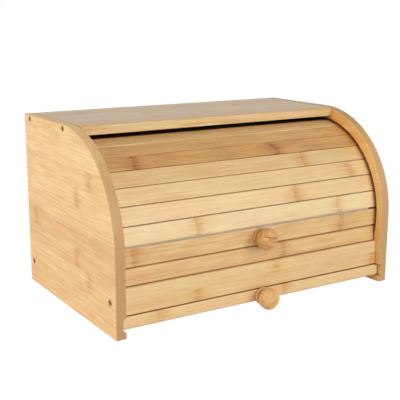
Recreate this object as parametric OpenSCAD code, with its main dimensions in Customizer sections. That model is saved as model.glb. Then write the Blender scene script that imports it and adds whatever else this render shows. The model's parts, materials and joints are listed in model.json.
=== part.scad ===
// Roll-top bread box in bamboo with a crumb drawer under its floor.
// Millimetres. X is the width, the front faces -Y, Z is up and z = 0 is the table.
// Y is centred on the whole object, counting the knob that stands out in front.

/* [Case] */
// Width over the two side panels
case_w = 370; // [320:5:450]
// Depth of the side panels, front edge to back edge
case_d = 235; // [235:1:260]
// Height of the side panels
case_h = 205; // [205:1:215]
// Thickness of a side panel
panel_t = 12; // [12:0.5:14]
// Radius of the rounded front of a side panel
nose_r = 120; // [118:1:120]
// Radius of the eased edges of a side panel
panel_ease = 1.5; // [1:0.1:2]
// Thickness of the top board
top_t = 10.6; // [9:0.1:10.6]
// How far the top board's front edge lies behind the panels' front edges
top_in = 98.5; // [98:0.5:110]
// Thickness of the back board
back_t = 8; // [6:0.5:8]
// Thickness of the floor board
floor_t = 9; // [8:0.5:9]
// Height of the floor board's underside
floor_z = 21.5; // [21.5:0.5:23]
// Height of the front rail
rail_h = 28.9; // [24:0.1:28.9]
// Thickness of the front rail
rail_t = 12; // [10:0.5:12]
// How far the rail's face lies behind the panels' front edges
rail_in = 7; // [6.5:0.5:8]

/* [Crumb slots] */
// Number of slots in the floor
slot_count = 11; // [5:2:13]
// Length of a slot
slot_l = 130; // [80:5:150]
// Width of a slot
slot_w = 4; // [3:0.5:4]
// Distance between two slots
slot_pitch = 26; // [18:1:26]

/* [Tambour] */
// Number of slats on the canvas
slat_count = 11; // [10:1:11]
// Angle from one slat to the next on the round track
slat_pitch = 10.9; // [10.8:0.05:11]
// Width of a slat
slat_w = 19.3; // [18.5:0.1:19.3]
// Extra angle in the lowest gap; the next gap gets twice as much, and the canvas shows there
slack = 0.45; // [0:0.05:0.45]
// Number of gaps with extra angle, from the bottom
slack_gaps = 2; // [0:1:2]
// How far the lowest slat's face stands out at its lower edge, so that it hangs upright
lift_out = 5; // [0.5:0.5:5]
// How much narrower the lowest slat is, cut from its lower edge
low_trim = 2.5; // [2.5:0.1:5]
// Thickness of a slat
slat_t = 5; // [4.6:0.1:5]
// Radius of a slat's two outer edges
slat_ease = 0.7; // [0.5:0.1:1.5]
// Distance from the track's centre to the outer faces of the slats
slat_r = 107; // [106:0.1:107]
// Height of the track's centre
track_z = 81.5; // [81:0.1:82]
// How far the track's centre lies behind the panels' front edges
track_in = 119; // [118.5:0.1:119]
// Angle at which the slats' even pitch starts, above the level of the track's centre
slat_from = -17.65; // [-17.65:0.05:-16.3]
// Angle through which the tambour opens, until its knob meets the top board
open_angle = 74; // [60:0.5:74]
// Width of the track groove, one pass of the router
groove_w = 8; // [8:0.5:9]
// Depth of the track groove in the panel
groove_deep = 6; // [6:0.5:7]
// How far a slat's tongue reaches into the groove
tongue_l = 5; // [4:0.5:5]
// Thickness of a tongue
tongue_t = 4.3; // [4:0.1:5]
// Thickness of the canvas
canvas_t = 0.8; // [0.5:0.1:1]
// Width of the bare slat ends beside the canvas
canvas_in = 6; // [6:1:15]

/* [Drawer] */
// Height of the drawer
drawer_h = 13.3; // [12:0.1:13.3]
// Height of the panel ledges that carry the drawer
ledge_z = 7.1; // [6.5:0.1:7.1]
// Depth of the channel in the panel above the ledge
channel_deep = 4; // [3.5:0.5:5]
// Radius of the eased edge of the ledges
ledge_ease = 2; // [1:0.5:2]
// Gap between an end of the drawer front and the bottom of the channel
front_gap = 1; // [0.8:0.1:2]
// Gap between a drawer side and the bottom of the channel
drawer_gap = 0.6; // [0.4:0.1:1]
// Thickness of the drawer front
front_t = 12; // [10:0.5:12]
// Thickness of the drawer sides and back
tray_t = 10; // [8:0.5:10]
// Thickness of the drawer bottom
bottom_t = 2.2; // [2:0.1:3]
// How far the drawer's face lies behind the panels' front edges
drawer_in = 6; // [6:0.5:8]

/* [Knobs] */
// Length of a knob
knob_l = 22; // [20:0.5:22]
// Radius of the knob's head
knob_r = 12.2; // [11:0.1:12.3]
// Radius of the knob's foot
foot_r = 10; // [8.5:0.1:10.5]
// Height of the drawer knob's centre
drawer_knob_z = 12.5; // [12.5:0.1:13.6]

/* [Hidden] */
// Slats are named from the bottom up: slat_01, slat_02 ...
function slat_name(i) = str("slat_", i < 10 ? "0" : "", i);

$fn = 64;
eps = 0.5; // how far a cutter runs past the face that it opens

// Colours of the bamboo, the canvas and the screws
honey = [0.88, 0.72, 0.50];
pale = [0.93, 0.81, 0.60];
amber = [0.82, 0.61, 0.38];
scorched = [0.29, 0.18, 0.10];
canvas_grey = [0.78, 0.76, 0.72];
steel = [0.45, 0.42, 0.38];
slat_colours = [honey, honey, pale, honey, honey, honey, amber, amber, amber, scorched, scorched];

// Main planes of the case
knob_out = knob_l - drawer_in;
front_y = -(case_d - knob_out) / 2;
back_y = front_y + case_d;
inner_x = case_w / 2 - panel_t;
nose_y = front_y + nose_r;
nose_z = case_h - nose_r;
top_z = case_h - top_t;
floor_top = floor_z + floor_t;
back_face = back_y - back_t;
rail_y = front_y + rail_in;
rail_back = rail_y + rail_t;
board_ease = 2.5;
trim_ease = 1;

// The round track of the tambour. Angles start level in front and rise over the top.
track_y = front_y + track_in;
slat_in = slat_r - slat_t;
slat_l = 2 * (inner_x + tongue_l);
slat_body_l = 2 * (inner_x - 1);
groove_mid = 106;
low_cut = low_trim / slat_in * 180 / PI; // low_trim as an angle
groove_from = slat_from + low_cut + 1.1;
groove_to = slat_from + slat_count * slat_pitch + all_slack(slack_gaps) + open_angle + 1.5;
knob_slat = 2;
knob_angle = slat_angle(knob_slat);
canvas_trim = 0.5;

// Drawer, rest position
drawer_z = ledge_z + 0.2;
drawer_y = front_y + drawer_in;
front_hw = inner_x + channel_deep - front_gap;
drawer_hw = inner_x + channel_deep - drawer_gap;
tray_y = drawer_y + front_t;
tray_back = back_y - 21;
channel_back = tray_back + 0.4;
tray_z = drawer_z + bottom_t;
tray_h = drawer_h - bottom_t;
rabbet = 6;

// Fasteners
screw_d = 3.6;
screw_head_d = 7;
screw_l = 30;
screw_sink = 0.6;
knob_screw_d = 3.5;
knob_screw_head_d = 6;
knob_screw_in_knob = 11;
dowel_d = 5;
dowel_l = 20;
dowel_in_panel = 8;
tray_dowel_d = 4;
tray_dowel_l = 20;
brad_d = 1.4;
brad_l = 8;
brad_head_d = 2.8;
brad_head_h = 0.5;

// Screws of one side: [y, z]. Two in the top board, one in the floor, one in the rail.
case_screws = [[back_y - 17.2, case_h - 4.6], [front_y + 120.8, case_h - 4.6],
    [back_y - 12.4, floor_z + floor_t / 2], [rail_y + rail_t / 2, 36.4]];

// Dowels along X that join the back board and the floor to one side panel: [y, z]
side_dowels = [[back_y - back_t / 2, 60], [back_y - back_t / 2, 160],
    [front_y + 60, floor_z + floor_t / 2]];
// Places along X of the dowels between rail and floor, and between back and top board
cross_dowels_x = [-110, 0, 110];

// Brads that hold the drawer bottom: along both sides, then along the back
brad_side_y = [for (k = [0:3]) tray_y + 20 + k * (tray_back - tray_y - 30) / 3];
brad_back_x = [-120, -40, 40, 120];

// --- Helpers ---------------------------------------------------------------

// Extrudes a section drawn in (y, z) along X, centred on x = 0
module along_x(length) {
    rotate([90, 0, 90]) linear_extrude(length, center = true) children();
}

// Point at radius r and angle a in the plane of the track, seen from the track's centre
function polar(r, a) = [-r * cos(a), r * sin(a)];

// A section drawn as (outwards, downwards) moved to angle a on the track
module on_track(a) {
    translate([track_y, track_z]) rotate(180 - a) children();
}

// A solid drawn along Z, turned to point outwards at angle a on the track
module out_from_track(a) {
    translate([0, track_y, track_z]) rotate([90 - a, 0, 0]) children();
}

// Rectangle with its two corners on the far side of x rounded
module eased_bar(t, w, r) {
    translate([0, -w / 2]) square([t - r, w]);
    translate([0, -w / 2 + r]) square([t, w - 2 * r]);
    for (side = [-1, 1]) translate([t - r, side * (w / 2 - r)]) circle(r = r);
}

// Rectangle from the origin with any of its four corners rounded
module rounded_board(w, h, r) {
    translate([r, 0]) square([w - 2 * r, h]);
    translate([0, r]) square([w, h - 2 * r]);
    for (x = [r, w - r]) for (y = [r, h - r]) translate([x, y]) circle(r = r);
}

// The waste outside a rounded corner at the origin, for an edge that runs along Z
module corner_waste(r) {
    difference() {
        translate([-eps, -eps]) square([r + eps, r + eps]);
        translate([r, r]) circle(r = r);
    }
}

// --- Side panels -----------------------------------------------------------

// Outline of a side panel: square at the back, rounded over the front
module panel_outline() {
    translate([front_y, 0]) square([case_d, nose_z]);
    translate([nose_y, 0]) square([back_y - nose_y, case_h]);
    intersection() {
        translate([nose_y, nose_z]) circle(r = nose_r, $fn = 180);
        translate([front_y, nose_z - 1]) square([nose_r, nose_r + 1]);
    }
}

// Waste along the front, the round and the top of the panel's face at x = 0
module face_edge_waste(r) {
    // front edge, straight part
    translate([0, front_y, -eps]) linear_extrude(nose_z + eps) corner_waste(r);
    // round
    translate([0, nose_y, nose_z]) rotate([0, 90, 0]) rotate([0, 0, 180])
        rotate_extrude(angle = 90, $fn = 180)
            translate([nose_r, 0]) mirror([1, 0]) corner_waste(r);
    // top edge
    translate([0, nose_y, case_h]) rotate([-90, 0, 0])
        linear_extrude(back_y - nose_y + eps) corner_waste(r);
    // back edge
    translate([0, back_y, -eps]) mirror([0, 1, 0])
        linear_extrude(case_h + 2 * eps) corner_waste(r);
}

// The routed track: part of a ring with round ends
module track_groove() {
    ro = groove_mid + groove_w / 2;
    ri = groove_mid - groove_w / 2;
    span = groove_to - groove_from;
    translate([track_y, track_z]) {
        intersection() {
            difference() {
                circle(r = ro, $fn = 180);
                circle(r = ri, $fn = 180);
            }
            polygon(concat([[0, 0]],
                [for (k = [0:4]) polar(1.5 * ro, groove_from + k * span / 4)]));
        }
        for (a = [groove_from, groove_to]) translate(polar(groove_mid, a)) circle(d = groove_w);
    }
}

// The drawer's channel in the face of the panel, and the eased edge of the ledge under it
module drawer_channel() {
    run = channel_back - front_y + eps;
    translate([-eps, front_y - eps, ledge_z])
        cube([channel_deep + eps, run, floor_z - ledge_z]);
    translate([0, front_y - eps, ledge_z]) rotate([-90, 0, 0])
        linear_extrude(run) corner_waste(ledge_ease);
}

// Countersunk hole for a case screw, drilled from the outer face towards the inside
module case_screw_hole() {
    cylinder(d = screw_d, h = panel_t + eps);
    translate([0, 0, -eps]) cylinder(d = screw_head_d, h = screw_sink + eps);
    translate([0, 0, screw_sink])
        cylinder(d1 = screw_head_d, d2 = screw_d, h = (screw_head_d - screw_d) / 2);
}

// Right side panel; its inner face is at x = inner_x
module right_panel() {
    difference() {
        translate([inner_x + panel_t / 2, 0, 0]) along_x(panel_t) panel_outline();
        translate([inner_x, 0, 0]) face_edge_waste(panel_ease);
        translate([inner_x + panel_t, 0, 0]) mirror([1, 0, 0]) face_edge_waste(panel_ease);
        translate([inner_x, 0, 0]) along_x(2 * groove_deep) track_groove();
        translate([inner_x, 0, 0]) drawer_channel();
        for (p = case_screws) translate([case_w / 2, p[0], p[1]]) rotate([0, -90, 0])
            case_screw_hole();
        for (p = side_dowels) translate([inner_x - eps, p[0], p[1]]) rotate([0, 90, 0])
            cylinder(d = dowel_d, h = dowel_in_panel + eps);
    }
}

module side_panel_left() {
    color(honey) mirror([1, 0, 0]) right_panel();
}

module side_panel_right() {
    color(honey) right_panel();
}

// --- Boards between the panels ---------------------------------------------

// Pilot holes of the case screws in both ends of a board
module screw_pilots() {
    for (side = [-1, 1]) for (p = case_screws)
        translate([side * (case_w / 2 - screw_l / 2), p[0], p[1]]) rotate([0, 90, 0])
            cylinder(d = screw_d, h = screw_l, center = true);
}

// All dowels of the case: grow is 0 for the dowels themselves and for their tight holes
module all_case_dowels() {
    for (side = [-1, 1]) for (p = side_dowels)
        translate([side * (inner_x + dowel_in_panel - dowel_l / 2), p[0], p[1]])
            rotate([0, 90, 0]) cylinder(d = dowel_d, h = dowel_l, center = true);
    for (x = cross_dowels_x) {
        translate([x, rail_back, floor_z + floor_t / 2]) rotate([90, 0, 0])
            cylinder(d = dowel_d, h = dowel_l - 4, center = true);
        translate([x, back_y - back_t / 2, top_z - 4])
            cylinder(d = dowel_d, h = dowel_l - 4, center = true);
    }
}

module top_board() {
    color(pale) difference() {
        along_x(2 * inner_x) {
            translate([front_y + top_in, top_z]) difference() {
                square([case_d - top_in, top_t]);
                translate([0, top_t]) mirror([0, 1]) corner_waste(board_ease);
            }
        }
        screw_pilots();
        all_case_dowels();
    }
}

module back_board() {
    color(honey) difference() {
        translate([-inner_x, back_face, floor_top])
            cube([2 * inner_x, back_t, top_z - floor_top]);
        all_case_dowels();
    }
}

// One crumb slot with round ends
module crumb_slot() {
    half = (slot_l - slot_w) / 2;
    translate([-slot_w / 2, -half]) square([slot_w, 2 * half]);
    for (side = [-1, 1]) translate([0, side * half]) circle(d = slot_w);
}

module floor_board() {
    slot_y = (rail_back + back_face) / 2;
    color(pale) difference() {
        translate([-inner_x, rail_back, floor_z])
            cube([2 * inner_x, back_y - rail_back, floor_t]);
        translate([0, slot_y, floor_z - eps]) linear_extrude(floor_t + 2 * eps)
            for (k = [0:slot_count - 1])
                translate([(k - (slot_count - 1) / 2) * slot_pitch, 0]) crumb_slot();
        screw_pilots();
        all_case_dowels();
    }
}

module front_rail() {
    color(honey) difference() {
        along_x(2 * inner_x) translate([rail_y, floor_z])
            rounded_board(rail_t, rail_h, trim_ease);
        screw_pilots();
        all_case_dowels();
    }
}

module case_dowels() {
    color(pale) all_case_dowels();
}

// Countersunk screw with a cross recess; its head's face is at z = 0
module countersunk_screw(d, head_d, length) {
    head_h = (head_d - d) / 2;
    difference() {
        union() {
            cylinder(d1 = head_d, d2 = d, h = head_h);
            translate([0, 0, head_h]) cylinder(d = d, h = length - head_h - d / 2);
            translate([0, 0, length - d / 2]) cylinder(d1 = d, d2 = d / 4, h = d / 2);
        }
        for (turn = [0, 90]) rotate([0, 0, turn])
            translate([-head_d * 0.31, -head_d * 0.06, -eps])
                cube([head_d * 0.62, head_d * 0.12, head_h * 0.6 + eps]);
    }
}

// The four case screws of the right side
module right_case_screws() {
    for (p = case_screws) translate([case_w / 2 - screw_sink, p[0], p[1]]) rotate([0, -90, 0])
        countersunk_screw(screw_d, screw_head_d, screw_l - screw_sink);
}

module case_screws_left() {
    color(steel) mirror([1, 0, 0]) right_case_screws();
}

module case_screws_right() {
    color(steel) right_case_screws();
}

// --- Tambour ---------------------------------------------------------------

// Extra angle in the lowest n gaps together: once, twice ... the value of slack
function all_slack(n) = slack * n * (n + 1) / 2;

// Angle of the middle of slat i, counted from the bottom
function slat_angle(i) =
    slat_from + (i - 0.5) * slat_pitch + all_slack(min(i - 1, slack_gaps));

// Section of the lowest slat, thicker towards its lower edge
module lift_slat_section() {
    up = -slat_w / 2;
    low = slat_w / 2 - low_trim;
    run = lift_out * slat_ease / (low - up);
    polygon([[slat_in, up], [slat_r - slat_ease, up], [slat_r + run, up + slat_ease],
        [slat_r + lift_out - run, low - slat_ease], [slat_r + lift_out - slat_ease, low],
        [slat_in, low]]);
}

// Slat number i with a tongue at each end
module slat(i) {
    a = slat_angle(i);
    trim = i == 1 ? low_trim : 0;
    difference() {
        union() {
            along_x(slat_body_l) on_track(a)
                if (i == 1) lift_slat_section();
                else translate([slat_in, 0]) eased_bar(slat_t, slat_w, slat_ease);
            along_x(slat_l) on_track(a) translate([slat_r - tongue_t, -trim / 2])
                eased_bar(tongue_t, slat_w - trim, slat_ease);
        }
        if (i == knob_slat) out_from_track(a) translate([0, 0, slat_in]) knob_screw_hole(slat_t);
    }
}

module canvas_backing() {
    r_out = slat_in;
    r_in = slat_in - canvas_t;
    outer = [for (i = [0:slat_count]) canvas_point(r_out, i)];
    inner = [for (i = [0:slat_count]) canvas_point(r_in, slat_count - i)];
    color(canvas_grey) difference() {
        along_x(2 * (inner_x - canvas_in)) translate([track_y, track_z])
            polygon(concat(outer, inner));
        out_from_track(knob_angle) translate([0, 0, slat_in - canvas_t - eps])
            cylinder(d = knob_screw_head_d + 4, h = canvas_t + 2 * eps);
    }
}

// Corner of the canvas above slat i, where the planes of two slats' inner faces meet
function canvas_point(r, i) =
    let (trim = i == 0 ? canvas_trim + low_cut : i == slat_count ? -canvas_trim : 0,
        below = i == 0 ? slat_from : slat_angle(i) + slat_pitch / 2,
        above = slat_angle(i + 1) - slat_pitch / 2)
    polar(r / cos((slat_pitch + above - below) / 2 - abs(trim)), (below + above) / 2 + trim);

// Hole for a knob screw through a board of thickness t, from its back at z = 0
module knob_screw_hole(t) {
    head_taper = (knob_screw_head_d - knob_screw_d) / 2;
    translate([0, 0, -eps]) cylinder(d = knob_screw_d, h = t + 2 * eps);
    translate([0, 0, -eps]) cylinder(d = knob_screw_head_d, h = eps);
    cylinder(d1 = knob_screw_head_d, d2 = knob_screw_d, h = head_taper);
}

// Half section of the turned knob, foot at y = 0
module knob_section() {
    foot_h = 3;
    foot_ease = 1.2;
    neck_r = 7.2;
    hollow_r = 3.9;
    head_from = 9.5;
    head_ease = 3.4;
    head_flat = 2.6;
    face_r = 8.8;
    // foot
    square([foot_r - foot_ease, foot_h]);
    translate([0, foot_ease]) square([foot_r, foot_h - 2 * foot_ease]);
    for (y = [foot_ease, foot_h - foot_ease])
        translate([foot_r - foot_ease, y]) circle(r = foot_ease, $fn = 32);
    // neck with a hollow turned in it
    difference() {
        square([neck_r + 2.2, head_from + 2]);
        translate([neck_r + hollow_r, (foot_h + head_from) / 2 + 0.4]) circle(r = hollow_r);
        translate([neck_r, -eps]) square([6, foot_h / 2 + eps]);
    }
    // head: a thick disc with round shoulders and a slightly domed face
    translate([0, head_from]) square([knob_r - head_ease, 2 * head_ease + head_flat]);
    translate([0, head_from + head_ease]) square([knob_r, head_flat]);
    for (y = [head_from + head_ease, head_from + head_ease + head_flat])
        translate([knob_r - head_ease, y]) circle(r = head_ease);
    intersection() {
        translate([0, knob_l - 26]) circle(r = 26, $fn = 128);
        translate([0, head_from + head_ease]) square([face_r, knob_l]);
    }
}

// The knob along Z with the blind hole for its screw
module knob() {
    difference() {
        rotate_extrude() intersection() {
            knob_section();
            square([knob_r + 1, knob_l + 1]);
        }
        translate([0, 0, -eps]) cylinder(d = knob_screw_d, h = knob_screw_in_knob + eps);
    }
}

module tambour_knob() {
    color(amber) out_from_track(knob_angle) translate([0, 0, slat_r]) knob();
}

module tambour_knob_screw() {
    color(steel) out_from_track(knob_angle) translate([0, 0, slat_in])
        countersunk_screw(knob_screw_d, knob_screw_head_d, slat_t + knob_screw_in_knob);
}

// --- Drawer ----------------------------------------------------------------

// Places the drawer knob's axis along -Y, z = 0 on the back of the drawer front
module at_drawer_knob() {
    translate([0, tray_y, drawer_knob_z]) rotate([90, 0, 0]) children();
}

// The four corner dowels of the tray
module all_tray_dowels() {
    z = tray_z + tray_h / 2;
    for (side = [-1, 1]) {
        translate([side * (drawer_hw - tray_t / 2), tray_y, z]) rotate([90, 0, 0])
            cylinder(d = tray_dowel_d, h = tray_dowel_l - 4, center = true);
        translate([side * (drawer_hw - tray_dowel_l / 2), tray_back - tray_t / 2, z])
            rotate([0, 90, 0]) cylinder(d = tray_dowel_d, h = tray_dowel_l, center = true);
    }
}

// Brad along +Z, its head's face at z = 0
module brad() {
    cylinder(d = brad_head_d, h = brad_head_h);
    cylinder(d = brad_d, h = brad_l);
}

// All brads, driven up through the drawer bottom
module all_brads() {
    for (side = [-1, 1]) for (y = brad_side_y)
        translate([side * (drawer_hw - tray_t / 2), y, drawer_z]) brad();
    for (x = brad_back_x) translate([x, tray_back - tray_t / 2, drawer_z]) brad();
}

module drawer_front() {
    color(pale) difference() {
        along_x(2 * front_hw) translate([drawer_y, drawer_z])
            rounded_board(front_t, drawer_h, trim_ease);
        // rabbet for the drawer bottom
        translate([-case_w / 2, tray_y - rabbet, drawer_z - eps])
            cube([case_w, rabbet + eps, bottom_t + eps]);
        at_drawer_knob() knob_screw_hole(front_t);
        all_tray_dowels();
    }
}

// Right side of the tray
module right_tray_side() {
    difference() {
        translate([drawer_hw - tray_t, tray_y, tray_z])
            cube([tray_t, tray_back - tray_y, tray_h]);
        all_tray_dowels();
        all_brads();
    }
}

module drawer_side_left() {
    color(honey) mirror([1, 0, 0]) right_tray_side();
}

module drawer_side_right() {
    color(honey) right_tray_side();
}

module drawer_back() {
    color(honey) difference() {
        translate([-(drawer_hw - tray_t), tray_back - tray_t, tray_z])
            cube([2 * (drawer_hw - tray_t), tray_t, tray_h]);
        all_tray_dowels();
        all_brads();
    }
}

module drawer_bottom() {
    color(pale) difference() {
        union() {
            translate([-front_hw, tray_y - rabbet, drawer_z])
                cube([2 * front_hw, tray_back - tray_y + rabbet, bottom_t]);
            translate([-drawer_hw, tray_y, drawer_z])
                cube([2 * drawer_hw, tray_back - tray_y, bottom_t]);
        }
        all_brads();
    }
}

module drawer_dowels() {
    color(pale) all_tray_dowels();
}

module drawer_brads() {
    color(steel) all_brads();
}

module drawer_knob() {
    color(amber) at_drawer_knob() translate([0, 0, front_t]) knob();
}

module drawer_knob_screw() {
    color(steel) at_drawer_knob()
        countersunk_screw(knob_screw_d, knob_screw_head_d, front_t + knob_screw_in_knob);
}

side_panel_left();
side_panel_right();
top_board();
back_board();
floor_board();
front_rail();
case_dowels();
case_screws_left();
case_screws_right();
for (i = [1:slat_count])
    color(slat_colours[i - 1]) slat(i);
canvas_backing();
tambour_knob();
tambour_knob_screw();
drawer_front();
drawer_side_left();
drawer_side_right();
drawer_back();
drawer_bottom();
drawer_dowels();
drawer_brads();
drawer_knob();
drawer_knob_screw();
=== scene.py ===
# %% [markdown]
# # A bamboo bread box with a roll front
#
# This lesson dresses a measured model of a bread box. The model gives every board and slat its place. What is
# added here is what the eye meets first: the bamboo with its fibres and knuckles, two turned knobs, the woven
# canvas behind the slats, a camera and a soft studio light.
#
# Every length is in metres in Blender, so the millimetres of a workshop drawing are multiplied by `MM`.

# %% Load the measured model
import json
import math
import random

import bpy
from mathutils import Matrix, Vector


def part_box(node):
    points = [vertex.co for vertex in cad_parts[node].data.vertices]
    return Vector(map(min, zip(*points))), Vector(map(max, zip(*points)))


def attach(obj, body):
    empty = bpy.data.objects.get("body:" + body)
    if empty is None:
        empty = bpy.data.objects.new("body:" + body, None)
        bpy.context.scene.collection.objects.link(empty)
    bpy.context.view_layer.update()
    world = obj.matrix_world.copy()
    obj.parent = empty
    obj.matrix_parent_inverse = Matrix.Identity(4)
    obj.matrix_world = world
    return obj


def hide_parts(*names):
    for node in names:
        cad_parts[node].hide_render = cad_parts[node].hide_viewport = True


MM = 0.001
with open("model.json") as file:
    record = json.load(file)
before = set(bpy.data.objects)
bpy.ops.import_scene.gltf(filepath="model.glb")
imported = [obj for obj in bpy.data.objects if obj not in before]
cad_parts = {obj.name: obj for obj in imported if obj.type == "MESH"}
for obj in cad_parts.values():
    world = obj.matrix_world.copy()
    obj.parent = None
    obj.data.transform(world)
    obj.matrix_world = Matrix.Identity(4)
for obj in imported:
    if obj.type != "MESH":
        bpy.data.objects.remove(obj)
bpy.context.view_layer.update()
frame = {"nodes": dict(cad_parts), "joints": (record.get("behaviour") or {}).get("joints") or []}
boards = frame["nodes"]

# %% [markdown]
# ## One function for colours and one for nodes
#
# A paint chart gives a colour as a hex code in sRGB, but a renderer adds and multiplies light, which needs
# linear numbers. `linear` turns one into the other. `add` places one shader node: its settings are keywords,
# and its sockets take either a plain value or another node's output, which it then links.


# %% Colours and nodes
def linear(code):
    """The hex colour of a paint chart as linear red, green, blue and alpha."""
    parts = [int(code[i : i + 2], 16) / 255 for i in (0, 2, 4)]
    return [c / 12.92 if c <= 0.04045 else ((c + 0.055) / 1.055) ** 2.4 for c in parts] + [1.0]


def add(tree, kind, sockets=None, **settings):
    """A new node with its settings made and its sockets filled, by a value or by a link."""
    node = tree.nodes.new("ShaderNode" + kind)
    for key, value in settings.items():
        setattr(node, key, value)
    for socket, value in (sockets or {}).items():
        if isinstance(value, bpy.types.Node):
            value = value.outputs[0]
        if isinstance(value, bpy.types.NodeSocket):
            tree.links.new(value, node.inputs[socket])
        else:
            node.inputs[socket].default_value = value
    return node


print("honey in linear light:", [round(c, 3) for c in linear("F5CE92")[:3]])

# %% [markdown]
# ## The camera
#
# The photograph was taken from the front left and a little above, with a fairly long lens. The place, the
# target and the lens come from the box's corners in the picture: the box is 37 cm wide, 23.5 cm deep and
# 20.5 cm high, and only one camera shows such a box that way. The picture also leans by a sixth of a degree.

# %% Place the camera
CAMERA_AT = Vector((-525.5, -807.3, 322.2)) * MM
CAMERA_LOOKS_AT = Vector((-12.55, 8.0, 102.16)) * MM
CAMERA_LEAN = math.radians(0.159)
LENS_MM = 73.88
SENSOR_MM = 36

camera = bpy.data.objects.new("camera", bpy.data.cameras.new("camera"))
bpy.context.scene.collection.objects.link(camera)
camera.data.lens = LENS_MM
camera.data.sensor_width = SENSOR_MM
camera.location = CAMERA_AT
camera.rotation_euler = (CAMERA_LOOKS_AT - CAMERA_AT).to_track_quat("-Z", "Y").to_euler()
camera.rotation_euler.rotate_axis("Z", CAMERA_LEAN)
bpy.context.scene.camera = camera
bpy.context.scene.view_settings.view_transform = "Standard"
print("camera", round((CAMERA_LOOKS_AT - CAMERA_AT).length, 3), "m away")

# %% [markdown]
# ## The light
#
# Three softboxes light the box, and none hangs above it. The left one stands square to the left panel and
# makes it bright. A small one close in front, a little to the left, fills the front and lightens the shadows.
# The key light stands on the right: it gives the slats their form, leaves the right panel's inner face in
# shade, and makes the knobs throw a soft shadow to the left. The top gets mostly the dim sky and stays dull.
#
# For a softbox at distance d that faces the object, a power of pi squared times d squared watts shows a
# colour just as it is written. `level` is a share of that.

# %% Soft boxes
BOX_MIDDLE = Vector((0, 0, 100)) * MM


def softbox(name, azimuth, elevation, distance, size, level):
    """A square area lamp that faces the middle of the box from a direction in degrees."""
    data = bpy.data.lights.new(name, "AREA")
    data.shape = "SQUARE"
    data.size = size
    data.energy = level * math.pi**2 * distance**2
    lamp = bpy.data.objects.new(name, data)
    bpy.context.scene.collection.objects.link(lamp)
    turn, rise = math.radians(azimuth), math.radians(elevation)
    out = Vector((math.sin(turn) * math.cos(rise), -math.cos(turn) * math.cos(rise), math.sin(rise)))
    lamp.location = BOX_MIDDLE + distance * out
    lamp.rotation_euler = (-out).to_track_quat("-Z", "Y").to_euler()
    print(name, "at", [round(c, 2) for c in lamp.location], round(data.energy, 1), "W")


softbox("left_softbox", azimuth=-98, elevation=14, distance=2.6, size=1.6, level=0.65)
softbox("front_softbox", azimuth=-22, elevation=27, distance=1.4, size=0.7, level=0.25)
softbox("right_softbox", azimuth=24, elevation=20, distance=2.6, size=1.1, level=0.375)

# %% [markdown]
# ## The white ground
#
# A catalogue picture stands on pure white. If real lamps had to burn the floor white they would also bleach
# the bamboo. So the world and the floor are white only for rays that come from the camera, or by way of a
# reflection or glass. All other rays meet a dim sky and a plain matt floor.

# %% The white world
SKY_LEVEL = 0.2


def seen_directly(tree):
    """1 for camera, glossy and transmission rays, and 0 for the rays that light things."""
    path = add(tree, "LightPath").outputs
    two = add(tree, "Math", {0: path["Is Camera Ray"], 1: path["Is Glossy Ray"]}, operation="ADD")
    return add(tree, "Math", {0: two, 1: path["Is Transmission Ray"]}, operation="ADD", use_clamp=True)


world = bpy.data.worlds.new("white_studio")
bpy.context.scene.world = world
world.use_nodes = True
tree = world.node_tree
tree.nodes.clear()
sky = add(tree, "Background", {"Color": linear("FFF3E2"), "Strength": SKY_LEVEL})
white = add(tree, "Background", {"Color": linear("FFFFFF"), "Strength": 1})
both = add(tree, "MixShader", {0: seen_directly(tree), 1: sky, 2: white})
add(tree, "OutputWorld", {"Surface": both})
print("the sky lights the box at", SKY_LEVEL, "of white")

# %% [markdown]
# The floor is a sheet of matt white paper. Seen by the camera it glows by itself, a little below white, and a
# grey coat under the glow takes the box's shadow. To the light it is plain paper, which throws some light
# back up at the box.

# %% The floor
FLOOR_GLOW = 0.97
FLOOR_SIZE = 60  # m, so that its edge lies far outside the picture

bpy.ops.object.select_all(action="DESELECT")
bpy.ops.mesh.primitive_plane_add(size=FLOOR_SIZE, location=(0, 0, 0))
floor = bpy.context.object
floor.name = "floor"
paper = bpy.data.materials.new("white_paper_floor")
paper.use_nodes = True
tree = paper.node_tree
tree.nodes.clear()
matt = add(tree, "BsdfDiffuse", {"Color": linear("E8E6E2")})
shaded = add(tree, "BsdfDiffuse", {"Color": linear("6A6A6A")})
glow = add(tree, "Emission", {"Color": linear("FFFFFF"), "Strength": FLOOR_GLOW})
bright = add(tree, "AddShader", {0: shaded, 1: glow})
add(tree, "OutputMaterial", {"Surface": add(tree, "MixShader", {0: seen_directly(tree), 1: matt, 2: bright})})
floor.data.materials.append(paper)
print("floor", FLOOR_SIZE, "m wide")

# %% [markdown]
# ## Laminated bamboo
#
# Bamboo board is glued from strips about 20 mm wide, split from the cane, planed and pressed side by side,
# then sanded and sprayed with a satin lacquer. Four things make it read as bamboo:
#
# - straight fibres, a millimetre or two wide and a hand's breadth long,
# - strips that differ a little in tone,
# - knuckles, the rings of the cane, which cross one strip as a double brown band and stop at its edges,
# - the cut end, where the fibres show as dots and the board looks darker.
#
# An image could hold all that, but it would have one scale and would need unwrapping. Here it is built from
# noise that is stretched along the grain, in object coordinates, so it runs through the board like real
# fibres. Tone and knuckles are looked up in a small table with one row for each strip: a colour ramp without
# blending, whose red is the tone and whose green and blue are the places of two knuckles along the strip.

# %% The table of strips
REACH = 200  # knuckles may lie this many mm to either side of the middle
NO_KNUCKLE = REACH
FIRST_KNUCKLE = (-150, 90)  # where a strip from the saw may have its knuckles, mm
SECOND_KNUCKLE = (95, 260)


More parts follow.
